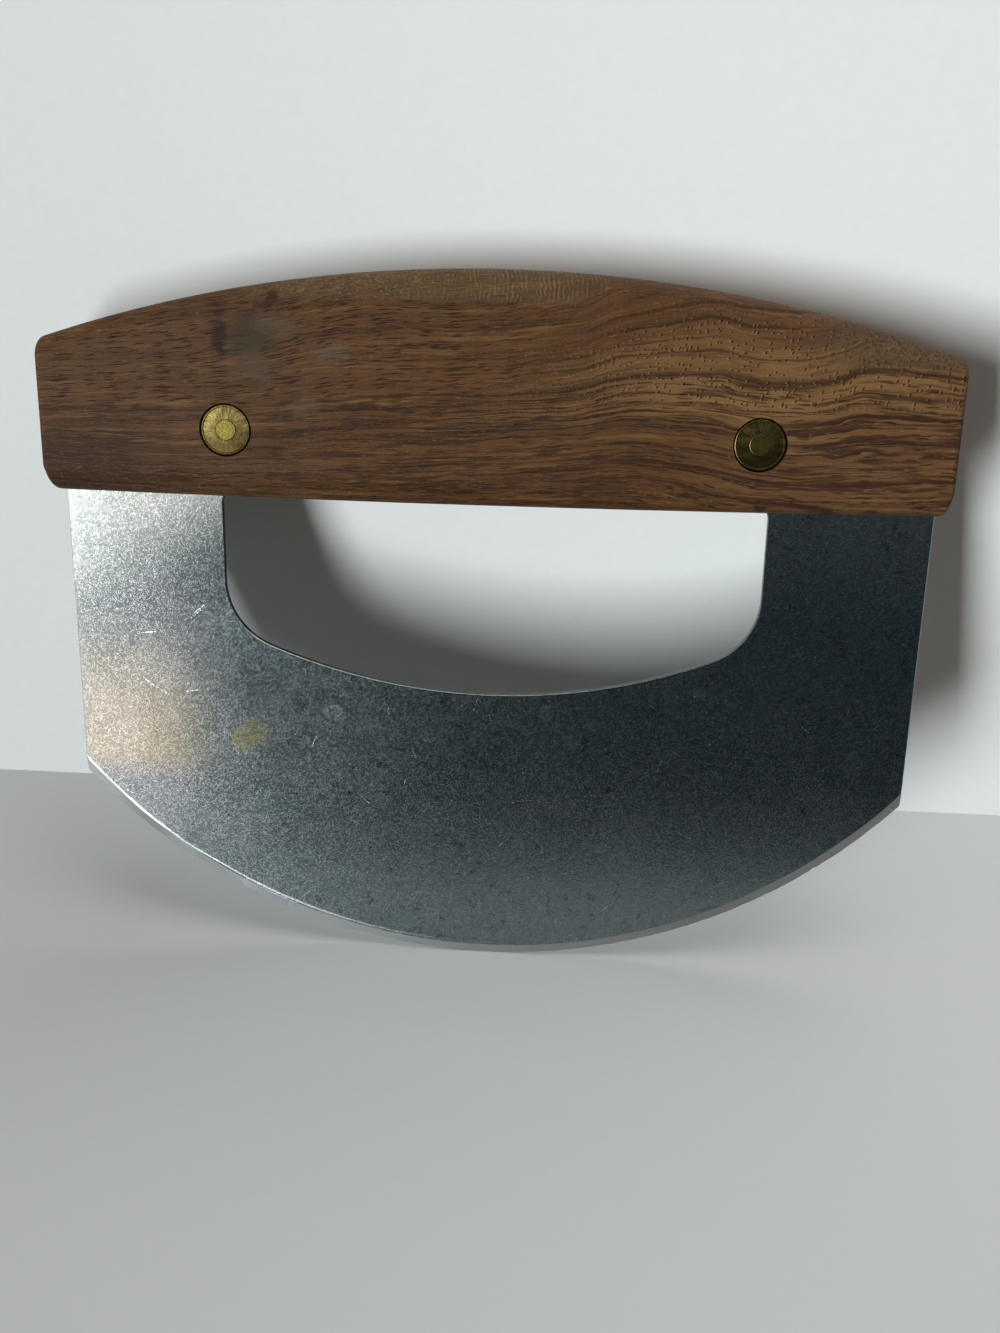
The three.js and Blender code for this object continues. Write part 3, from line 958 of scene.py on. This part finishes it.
def arc(centre_x, centre_z, radius, start, end, steps):
    """Points on an arc, each with the direction from the arc's centre to it."""
    made = []
    for step in range(steps + 1):
        turn = start + (end - start) * step / steps
        away = Vector((math.cos(turn), math.sin(turn)))
        made.append((Vector((centre_x, centre_z)) + radius * away, away))
    return made


def straight(first, last, away, steps):
    """Points along a straight side, both ends left out, each with the direction out of the sheet."""
    span = Vector(last) - Vector(first)
    return [(Vector(first) + span * step / steps, Vector(away)) for step in range(1, steps)]


def corner_in_arc(side, radius, sweep, level):
    """Where a rounded corner meets an upright side and a larger arc that it lies inside."""
    x = side - radius
    z = level - math.sqrt((sweep - radius) ** 2 - x * x)
    return x, z, math.atan2(x, level - z)


def edge_wear(x):
    """How far the edge has been worn or nicked back at one place along it."""
    hollow = HOLLOW_DEPTH * max(0.0, 1 - ((x / MM - HOLLOW_PLACE) / HOLLOW_HALF) ** 2) ** 2
    chips = sum(depth * max(0.0, 1 - abs(x / MM - at) / half) for at, depth, half in NICKS)
    ripple = RIPPLE_DEPTH * (math.sin(x / MM * 1.7) + math.sin(x / MM * 0.61 + 2.0))
    return (hollow + chips + ripple + LEAST_WEAR) * MM


def blade_loop():
    """The outline, from the top left corner down, along the edge and up again."""
    x, z, turn = corner_in_arc(half_blade, TIP_RADIUS, edge_radius, edge_radius)
    loop = [(Vector((-half_blade, strap_top)), Vector((-1, 1)).normalized())]
    loop += straight((-half_blade, strap_top), (-half_blade, z), (-1, 0), ARM_STEPS)
    loop += arc(-x, z, TIP_RADIUS, math.pi, 1.5 * math.pi - turn, TIP_STEPS)
    for point, away in arc(0, edge_radius, edge_radius, DOWN - turn, DOWN + turn, EDGE_STEPS)[1:-1]:
        loop.append((point - away * edge_wear(point.x), away))
    loop += arc(x, z, TIP_RADIUS, DOWN + turn, 0, TIP_STEPS)
    loop += straight((half_blade, z), (half_blade, strap_top), (1, 0), ARM_STEPS)
    loop.append((Vector((half_blade, strap_top)), Vector((1, 1)).normalized()))
    return loop


def opening_loop():
    """The finger opening, anticlockwise: its floor follows the sweep of the edge."""
    centre = OPENING_FLOOR + OPENING_SWEEP
    x, z, turn = corner_in_arc(half_opening, OPENING_LOWER_CORNER, OPENING_SWEEP, centre)
    upper_x = half_opening - OPENING_UPPER_CORNER
    upper_z = UNDERSIDE_LEVEL + STRAP_RISE - OPENING_UPPER_CORNER
    loop = arc(0, centre, OPENING_SWEEP, DOWN - turn, DOWN + turn, FLOOR_STEPS)[:-1]
    loop += arc(x, z, OPENING_LOWER_CORNER, DOWN + turn, 0, LOWER_CORNER_STEPS)
    loop += arc(upper_x, upper_z, OPENING_UPPER_CORNER, 0, -DOWN, UPPER_CORNER_STEPS)
    loop += arc(-upper_x, upper_z, OPENING_UPPER_CORNER, -DOWN, math.pi, UPPER_CORNER_STEPS)
    loop += arc(-x, z, OPENING_LOWER_CORNER, math.pi, 1.5 * math.pi - turn, LOWER_CORNER_STEPS)[:-1]
    return loop


print("outline:", len(blade_loop()), "points, opening:", len(opening_loop()), "points")

# %% Grinding and filling the blade
BEVEL_WOBBLE = [(0.05, 0.5, 0.0), (0.04, 0.23, 1.0)]
GRIND_REACH = 1.2 * EDGE_RISE
WEAR_SHARE = 0.6
HOLE_STEPS = 48
BLADE_CREASE = 10


def ground_edge(point, away):
    """A point's partner on the faces, and the thickness that is left of the sheet at the point."""
    centre = Vector((0, edge_radius))
    spoke = point - centre
    wear = edge_wear(point.x)
    depth = edge_radius - wear - spoke.length
    x = point.x / MM
    wobble = sum(size * math.sin(x * pace + start) for size, pace, start in BEVEL_WOBBLE)
    width = BEVEL_WIDTH * (1 + wobble)
    if point.y < GRIND_REACH and depth < width:
        partner = centre + spoke.normalized() * (edge_radius - WEAR_SHARE * wear - width)
        left = EDGE_LAND + (2 * half_sheet - EDGE_LAND) * max(depth, 0.0) / width
        return partner, left
    return point - away * EASE, 2 * half_sheet - 2 * EASE


def eased_hole(point, away):
    """The same for the wall of an opening, whose cut edges are only eased."""
    return point + away * EASE, 2 * half_sheet - 2 * EASE


def strip(shape, first, second):
    """A band of faces between two closed loops of as many points."""
    count = len(first)
    for here in range(count):
        after = (here + 1) % count
        shape.faces.new((first[here], first[after], second[after], second[here]))


def sheet_loops(shape, loop, partner_of):
    """The four loops of one outline, from the front face to the back; gives the outer two."""
    rings = [[], [], [], []]
    for point, away in loop:
        partner, left = partner_of(point, away)
        places = [(partner, -half_sheet), (point, -left / 2), (point, left / 2), (partner, half_sheet)]
        for ring, (flat, depth) in zip(rings, places):
            ring.append(shape.verts.new((flat.x, depth, flat.y)))
    for first, second in zip(rings, rings[1:]):
        strip(shape, first, second)
    return rings[0], rings[3]


def fill_face(shape, rings):
    """Fills one face of the sheet between its outline and its openings."""
    edges = []
    for ring in rings:
        edges += [shape.edges.get((ring[n], ring[(n + 1) % len(ring)])) for n in range(len(ring))]
    bmesh.ops.triangle_fill(shape, use_beauty=True, use_dissolve=False, edges=edges)


def make_blade():
    shape = bmesh.new()
    sides = [sheet_loops(shape, blade_loop(), ground_edge), sheet_loops(shape, opening_loop(), eased_hole)]
    for place in (-rivet_offset, rivet_offset):
        hole = arc(place, rivet_level, SHANK_RADIUS + HOLE_GAP, 0, 2 * math.pi, HOLE_STEPS)[:-1]
        sides.append(sheet_loops(shape, hole, eased_hole))
    fill_face(shape, [front for front, back in sides])
    fill_face(shape, [back for front, back in sides])
    mesh = bpy.data.meshes.new("steel_blade")
    shape.to_mesh(mesh)
    shape.free()
    return new_object("steel_blade", mesh)


blade = make_blade()
blade.data.materials.append(steel)
finish_mesh(blade, BLADE_CREASE)

# %% [markdown]
# Each rivet is two turned pieces pressed together: a tube, whose head is a nearly flat ring inside a rim, and
# a pin, whose end shows in the middle of that ring and whose head closes the back. Lathe work is round, so a
# profile is swept along a circle. The two rivets are the same, so the turned shape is set at both places by
# instances. Spokes of noise round the axis stand for the streaks on the heads.

# %% Turned brass
PIN_RADIUS = 1.75 * MM
RING_DARK = (0.13, 0.094, 0.03, 1)
RING_PALE = (0.215, 0.16, 0.052, 1)
SPOKE_DARK = (0.075, 0.056, 0.022, 1)
SPOKE_PALE = (0.29, 0.23, 0.10, 1)
# Painted shade for the lower side of each head.
PAINTED_LOWER_SHADE = (0.05, 0.037, 0.014, 1)
PIN_BRASS = (0.18, 0.145, 0.034, 1)


def brass_finish():
    material, bench = new_finish("turned_brass")
    x, y, z = surface_place(bench)
    across = abs(x) - rivet_offset / MM
    up = z - rivet_level / MM
    radius = (across * across + up * up).root()
    angle = bench.node("ShaderNodeMath", {"operation": "ARCTAN2"}, {0: up, 1: across})
    spokes = bench.noise(bench.point(angle * 9, radius * 0.5, x * 0.02), 2.0)
    cloud = bench.noise(bench.point(x * 0.9, y * 0.9, z * 0.9), 3.0)
    dents = bench.noise(bench.point(x * 2.4, y * 2.4, z * 2.4), 2.0)
    ring = bench.blend(bench.fade(cloud, 0.35, 0.65), RING_DARK, RING_PALE)
    brass = bench.coats(ring, [
        (bench.fade(spokes, 0.5, 0.66) * 0.5, SPOKE_DARK),
        (bench.fade(spokes, 0.48, 0.36) * 0.4, SPOKE_PALE),
        # Painted shade: each head darker towards its lower side, broken up by a cloud.
        (bench.fade(up + (cloud - 0.5) * 3, 2.6, -2.6) * 0.78, PAINTED_LOWER_SHADE),
        (bench.fade(radius, PIN_RADIUS / MM + 0.1, PIN_RADIUS / MM - 0.3) * 0.85, PIN_BRASS),
    ])
    end_painted(bench, {
        "Base Color": brass,
        "Metallic": 1.0,
        "Roughness": 0.26 + cloud * 0.1,
        "Normal": bench.bump(spokes * 0.5 + dents, 0.3, 0.05),
    })
    return material


brass = brass_finish()
print("brass:", len(brass.node_tree.nodes), "nodes")

# %% Rivets turned and set twice
RIM_WIDTH = 0.4 * MM
RIM_CHAMFER = 0.15 * MM
RING_DEPTH = 0.13 * MM
RIM_STEP = 0.17 * MM
PIN_GAP = 0.02 * MM
PIN_END_CHAMFER = 0.12 * MM
RIVET_CREASE = 15
RING_STEPS = 8
RING_CURVE = 1.4
RIM_EASE = (0.04 * MM, 0.05 * MM)
PIN_EASE = (0.035 * MM, 0.04 * MM)
rivet_sizes = {
    "Lathe radius": head_radius,
    "Lathe steps": 96,
    "Rivet offset": rivet_offset,
    "Rivet level": rivet_level,
}


def profile_mesh(name, points):
    """A chain of edges through points given as radius and depth, ready to be turned."""
    corners = [(radius - head_radius, depth, 0.0) for radius, depth in points]
    links = [(n, n + 1) for n in range(len(corners) - 1)]
    mesh = bpy.data.meshes.new(name)
    mesh.from_pydata(corners, links, [])
    return mesh


def tube_profile():
    front = tube_low.y
    seat = front + HEAD_THICKNESS
    end = tube_high.y
    bore = PIN_RADIUS + PIN_GAP
    inner = head_radius - RIM_WIDTH
    ring = []
    for step in range(RING_STEPS + 1):
        share = step / RING_STEPS
        fall = RING_DEPTH + (RIM_STEP - RING_DEPTH) * share ** RING_CURVE
        ring.append((bore + (inner - bore) * share, front + fall))
    rim = [(inner + RIM_CHAMFER, front), (head_radius - RIM_CHAMFER, front)]
    rim += [(head_radius - RIM_EASE[0], front + RIM_EASE[1]), (head_radius, front + RIM_CHAMFER)]
    shank = [(head_radius, seat), (SHANK_RADIUS, seat), (SHANK_RADIUS, end), (bore, end)]
    return ring + rim + shank + ring[:1]


def pin_profile():
    front = pin_low.y
    back = pin_high.y
    seat = back - HEAD_THICKNESS
    flat = PIN_RADIUS - PIN_END_CHAMFER
    end = [(0.0, front), (flat, front), (PIN_RADIUS - PIN_EASE[0], front + PIN_EASE[1])]
    end += [(PIN_RADIUS, front + PIN_END_CHAMFER), (PIN_RADIUS, seat), (head_radius, seat)]
    head = [(head_radius, back - RIM_CHAMFER), (head_radius - RIM_CHAMFER, back), (0.0, back)]
    return end + head


def rivet_tree():
    """Turns a profile about the rivets' axis and sets it at both places."""
    bench = new_tree("turned_and_set", rivet_sizes)
    entry = bench.node("NodeGroupInput")
    profile = bench.node("GeometryNodeMeshToCurve", None, {"Mesh": entry["Blank"]})
    circle = {"Resolution": entry["Lathe steps"], "Radius": entry["Lathe radius"]}
    lathe = bench.node("GeometryNodeCurvePrimitiveCircle", {"mode": "RADIUS"}, circle)
    turned_shape = bench.node("GeometryNodeCurveToMesh", None, {"Curve": lathe, "Profile Curve": profile})
    laid = bench.node(
        "GeometryNodeTransform", None, {"Geometry": turned_shape, "Rotation": QUARTER_TURN}
    )
    set_on = {"Points": rivet_places(bench, entry), "Instance": laid}
    pair = bench.node("GeometryNodeInstanceOnPoints", None, set_on)
    end_tree(bench, entry, pair)
    return bench


rivet_bench = rivet_tree()
tubes = run_tree("rivet_tubes", profile_mesh("tube", tube_profile()), rivet_bench, rivet_sizes, brass)
pins = run_tree("rivet_pins", profile_mesh("pin", pin_profile()), rivet_bench, rivet_sizes, brass)
finish_mesh(tubes, RIVET_CREASE)
finish_mesh(pins, RIVET_CREASE)

# %% [markdown]
# The chopper leans against a white wall, so in its own frame the table slopes away to the front and the wall
# leans back. Both are pale cards with painted shade that darkens them towards the left, each seen from its
# front only, so that nothing hides the back of the tool in other views. They take the tool's shadow, but they
# cast none and send no light back onto it.

# %% Table and wall
LEAN = math.radians(20)
forward = Vector((0, -math.cos(LEAN), -math.sin(LEAN)))
upright = Vector((0, -math.sin(LEAN), math.cos(LEAN)))
sideways = Vector((1, 0, 0))
WALL_SETBACK = 46.5 * MM
STAGE_WIDTH = 1.6
TABLE_DEPTH = 0.75
WALL_HEIGHT = 0.8
TABLE_WHITE = paint(231, 238, 238)
WALL_WHITE = paint(240, 244, 244)
# How far each card is darkened towards the left, as painted shade.
TABLE_LEFT_SHADE_LEVEL = 0.84
WALL_LEFT_SHADE_LEVEL = 0.73


def card_finish(name, colour, left_shade_level):
    """A pale matt card, clear from behind, with painted shade that darkens it towards the left."""
    material, bench = new_finish(name)
    x, y, z = surface_place(bench)
    fleck = bench.noise(bench.point(x * 0.5, y * 0.5, z * 0.5), 4.0, 0.6)
    dim = tuple(left_shade_level * part for part in colour[:3]) + (1.0,)
    # Painted shade: the card darkens towards the left.
    shade = bench.blend(fleck * 0.2 + bench.fade(x, 90, -140) * 0.9, colour, dim)
    shader = bench.node("ShaderNodeBsdfPrincipled", None, {"Base Color": shade, "Roughness": 0.7})
    behind = bench.node("ShaderNodeNewGeometry")["Backfacing"]
    end_finish(bench, bench.mixed(behind, shader, bench.node("ShaderNodeBsdfTransparent")))
    return material


def card(name, corner, first, second, finish):
    """A flat card from one corner along two sides; its front is where their cross product points."""
    mesh = bpy.data.meshes.new(name)
    corners = [corner, corner + first, corner + first + second, corner + second]
    mesh.from_pydata(corners, [], [(0, 1, 2, 3)])
    mesh.materials.append(finish)
    made = new_object(name, mesh)
    return made


def hide(made, *kinds):
    """Keeps an object out of some kinds of rays."""
    for kind in kinds:
        setattr(made, "visible_" + kind, False)


left_foot = -forward * WALL_SETBACK - sideways * STAGE_WIDTH / 2
table_finish = card_finish("table_white", TABLE_WHITE, TABLE_LEFT_SHADE_LEVEL)
wall_finish = card_finish("wall_white", WALL_WHITE, WALL_LEFT_SHADE_LEVEL)
table = card("table", left_foot, sideways * STAGE_WIDTH, forward * TABLE_DEPTH, table_finish)
table.data.flip_normals()
wall = card("wall", left_foot, sideways * STAGE_WIDTH, upright * WALL_HEIGHT, wall_finish)
for made in (table, wall):
    hide(made, "shadow", "diffuse")
    print(made.name, "normal", [round(part, 2) for part in made.data.polygons[0].normal])

# %% [markdown]
# The light is one tall, soft window to the left of the tool, set where the shadows say that it stood, with a
# little light from above. A weak lamp behind lights the tool alone, for views of its back. A satin blade
# shows what stands before it, so three cards that are seen only in reflections give the steel something to
# mirror: a dark one in front, a bright one before the left arm and a thin veil over the table.

# %% Window, ceiling and back lamp
TOOL_MIDDLE = Vector((0, 0, 0.063))
# Each lamp has its azimuth, elevation and distance, its width and height, its watts and its colour.
LAMPS = {
    "window": ((-35.5, -12.5, 2.5), (0.70, 1.82), 69.0, (0.95, 0.99, 1.0)),
    "ceiling": ((70, 72, 0.9), (0.8, 0.8), 4.7, (1.0, 0.98, 0.95)),
    "back_fill": ((172, 55, 0.8), (0.6, 0.6), 2.4, (1.0, 1.0, 1.0)),
}


def around(azimuth, elevation, distance):
    """A place round the middle of the tool; azimuth 0 is in front and positive is to the right."""
    a = math.radians(azimuth)
    e = math.radians(elevation)
    away = Vector((math.sin(a) * math.cos(e), -math.cos(a) * math.cos(e), math.sin(e)))
    return TOOL_MIDDLE + distance * away


def lamp(name, place, size, power, colour):
    data = bpy.data.lights.new(name, "AREA")
    data.shape = "RECTANGLE"
    data.size, data.size_y = size
    data.energy = power
    data.color = colour
    made = bpy.data.objects.new(name, data)
    bpy.context.scene.collection.objects.link(made)
    made.location = place
    made.rotation_euler = (TOOL_MIDDLE - place).to_track_quat("-Z", "Y").to_euler()
    made.visible_camera = False
    return made


lamps = {name: lamp(name, around(*place), *rest) for name, (place, *rest) in LAMPS.items()}
tool_only = bpy.data.collections.new("tool_only")
for piece in (grip, blade, tubes, pins):
    tool_only.objects.link(piece)
lamps["back_fill"].light_linking.receiver_collection = tool_only

# %% Cards for the steel to mirror
CARD_SHADE = (0.034, 0.043, 0.050, 1)
CARD_TOP = (0.085, 0.095, 0.095, 1)
CARD_FOOT = (0.10, 0.115, 0.12, 1)
GLOW_WARM = (0.56, 0.345, 0.10, 1)
GLOW_PALE = (1.0, 0.92, 0.76, 1)
GLOW_STRENGTH = 3.0
VEIL_SHADE = (0.03, 0.035, 0.035, 1)
VEIL_SHARE = 0.35
CARD_LEFT = 0.3 * sideways
DARK_CARD_AHEAD = 0.175
DARK_CARD_SIZE = (1.0, 0.5)
BRIGHT_CARD_CORNER = Vector((-0.098, -0.040, 0.0205))
BRIGHT_CARD_SIZE = (0.05, 0.066)
VEIL_AHEAD = 0.004
VEIL_LIFT = 0.001
VEIL_SIZE = (0.6, 0.17)


def end_glow(bench, shade, strength, share):
    """Ends a card's finish: it glows by a share and is clear for the rest."""
    glow = bench.node("ShaderNodeEmission", None, {"Color": shade, "Strength": strength})
    end_finish(bench, bench.mixed(share, bench.node("ShaderNodeBsdfTransparent"), glow))


def dark_card_finish():
    """A dark glow that is open at its left end and a little lighter higher up and at its foot."""
    material, bench = new_finish("dark_card")
    x, y, z = surface_place(bench)
    height = y * upright.y + z * upright.z
    shade = bench.blend(bench.fade(height, 90, 135), CARD_SHADE, CARD_TOP)
    shade = bench.blend(bench.fade(height, 34, 0), shade, CARD_FOOT)
    lower = bench.fade(z, 65, 10) * 85 + bench.fade(z, 10, -40) * 20
    end_glow(bench, shade, 1.0, bench.fade(x + lower, -215, -80))
    return material


def bright_card_finish():
    """Two glows: a pale one in the upper left and a warm one below it."""
    material, bench = new_finish("bright_card")
    x, y, z = surface_place(bench)
    shade = bench.blend(bench.fade(z, 54, 66), GLOW_WARM, GLOW_PALE)
    pale = bench.fade(z - x * 0.5, 98, 122) * 0.42
    warm = bench.fade(x, -59, -80) * bench.fade(z + x * 0.3, 34, -3) * 0.6
    end_glow(bench, shade, GLOW_STRENGTH, pale.at_least(warm))
    return material


def veil_finish():
    """A thin veil that keeps the mirrored table calm."""
    material, bench = new_finish("table_card")
    end_glow(bench, VEIL_SHADE, 1.0, VEIL_SHARE)
    return material


up = Vector((0, 0, 1))
dark_corner = forward * DARK_CARD_AHEAD - CARD_LEFT
veil_corner = forward * VEIL_AHEAD + upright * VEIL_LIFT - CARD_LEFT
layout = [
    ("dark_card", dark_corner, DARK_CARD_SIZE, upright, dark_card_finish()),
    ("bright_card", BRIGHT_CARD_CORNER, BRIGHT_CARD_SIZE, up, bright_card_finish()),
    ("table_card", veil_corner, VEIL_SIZE, forward, veil_finish()),
]
for name, corner, (width, height), way, finish in layout:
    made = card(name, corner, sideways * width, way * height, finish)
    hide(made, "camera", "diffuse", "shadow", "transmission")
print(len(layout), "cards that only the steel and the brass can see")

# %% The room's own light
ROOM_LIGHT = (0.10, 0.086, 0.073, 1)
ROOM_SEEN = (0.66, 0.70, 0.71, 1)
world = bpy.data.worlds.new("room")
bpy.context.scene.world = world
world.use_nodes = True
world.node_tree.nodes.clear()
room = Bench(world.node_tree)
path = room.node("ShaderNodeLightPath")
seen = path["Is Camera Ray"].at_least(path["Is Glossy Ray"]).at_least(path["Is Transmission Ray"])
shade = room.blend(seen, ROOM_LIGHT, ROOM_SEEN)
sky = room.node("ShaderNodeBackground", None, {"Color": shade, "Strength": 1.0})
room.node("ShaderNodeOutputWorld", None, {"Surface": sky})
print("the room:", len(world.node_tree.nodes), "nodes")

# %% [markdown]
# The camera stands where the photograph was taken from: a little right of the middle, near the height of the
# grip, and turned down. Its place was found by fitting the outlines of the pieces.

# %% Camera
CAMERA_PLACE = Vector((14.993, -209.314, 115.647)) * MM
CAMERA_PITCH = math.radians(15.503)
CAMERA_ROLL = math.radians(-1.349)
CAMERA_YAW = math.radians(-3.53)
SENSOR_WIDTH = 36
FOCAL_PIXELS = 1200
IMAGE_HEIGHT = 1333
ahead = Vector((
    math.sin(CAMERA_YAW) * math.cos(CAMERA_PITCH),
    math.cos(CAMERA_YAW) * math.cos(CAMERA_PITCH),
    -math.sin(CAMERA_PITCH),
))
level_right = Vector((math.cos(CAMERA_YAW), -math.sin(CAMERA_YAW), 0))
level_down = ahead.cross(level_right)
image_right = math.cos(CAMERA_ROLL) * level_right + math.sin(CAMERA_ROLL) * level_down
image_down = math.cos(CAMERA_ROLL) * level_down - math.sin(CAMERA_ROLL) * level_right

eye = bpy.data.cameras.new("camera")
eye.sensor_width = SENSOR_WIDTH
eye.lens = SENSOR_WIDTH * FOCAL_PIXELS / IMAGE_HEIGHT
eye.clip_start = 0.01
camera = bpy.data.objects.new("camera", eye)
bpy.context.scene.collection.objects.link(camera)
axes = Matrix((image_right, -image_down, -ahead)).transposed()
camera.matrix_world = Matrix.Translation(CAMERA_PLACE) @ axes.to_4x4()
bpy.context.scene.camera = camera
bpy.context.scene.view_settings.view_transform = "Standard"
print("lens", round(eye.lens, 2), "mm")

# %% [markdown]
# Last, every piece is set to move with the root body, and the imported solids that it takes the place of are
# hidden.

# %% Hand the pieces over
for piece, slot, nodes in (
    (grip, "walnut", ["grip"]),
    (blade, "blade_steel", ["blade"]),
    (tubes, "rivet_brass", ["rivet_tube_left", "rivet_tube_right"]),
    (pins, "rivet_brass", ["rivet_pin_left", "rivet_pin_right"]),
):
    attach(piece, "root")
    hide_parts(*nodes)
